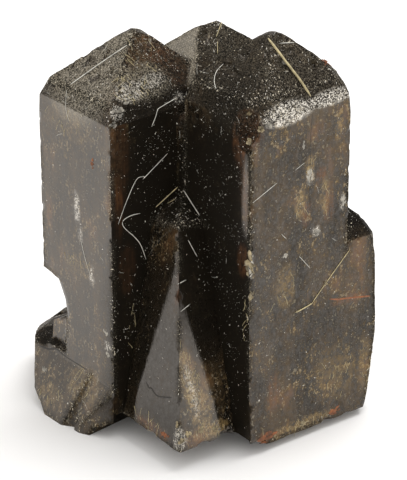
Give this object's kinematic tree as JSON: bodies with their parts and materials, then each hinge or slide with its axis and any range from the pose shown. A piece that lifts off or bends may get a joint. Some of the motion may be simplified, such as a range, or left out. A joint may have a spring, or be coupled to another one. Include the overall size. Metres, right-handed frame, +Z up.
{
  "type": "rutile crystal cluster",
  "caption": "Cluster of upright dark rutile crystals with low pyramid caps, grown into one another on a broken, flat-cut foot.",
  "frame": {"origin": "on the flat-cut foot, below the middle of the cluster", "axes": "+Z up along the crystals, -Y towards the side with the low front crystal, +X towards the right stub"},
  "size_m": [0.0186, 0.0151, 0.0226],
  "materials": {
    "crystal": "glossy"
  },
  "bodies": {
    "root": {"crystal_cluster": "crystal"}
  },
  "joints": []
}
